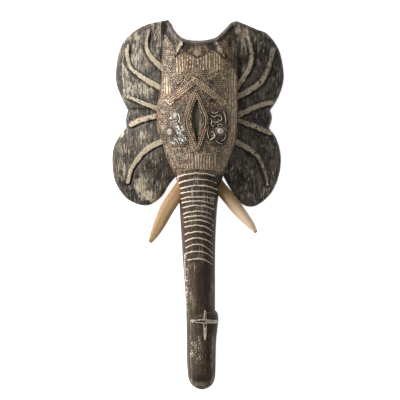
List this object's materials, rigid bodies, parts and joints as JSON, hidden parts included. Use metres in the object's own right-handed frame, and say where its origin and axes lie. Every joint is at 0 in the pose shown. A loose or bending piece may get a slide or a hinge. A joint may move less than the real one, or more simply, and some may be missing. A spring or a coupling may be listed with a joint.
{
  "type": "elephant wall mask",
  "caption": "Carved elephant head wall mask with lobed ears, a long ringed trunk with a curled tip, peg tusks and embossed metal over the face",
  "frame": {"origin": "middle of the flat back, on the surface the mask lies on", "axes": "+Z out of the face, +Y from the trunk's tip to the crown, +X to the viewer's right"},
  "size_m": [0.2804, 0.6012, 0.0842],
  "materials": {
    "stained_wood": "dark stained and dry brushed, worn pale on the ribs and edges",
    "tusk_wood": "pale bare wood, lightly oiled",
    "sheet_metal": "beaten sheet with a brown antique patina",
    "plate_metal": "embossed sheet, dull silver with dark hollows"
  },
  "bodies": {
    "root": {"carved_body": "stained_wood", "tusk_left": "tusk_wood", "tusk_right": "tusk_wood", "face_sheet": "sheet_metal", "eye_plate_left": "plate_metal", "eye_plate_right": "plate_metal"}
  },
  "joints": []
}
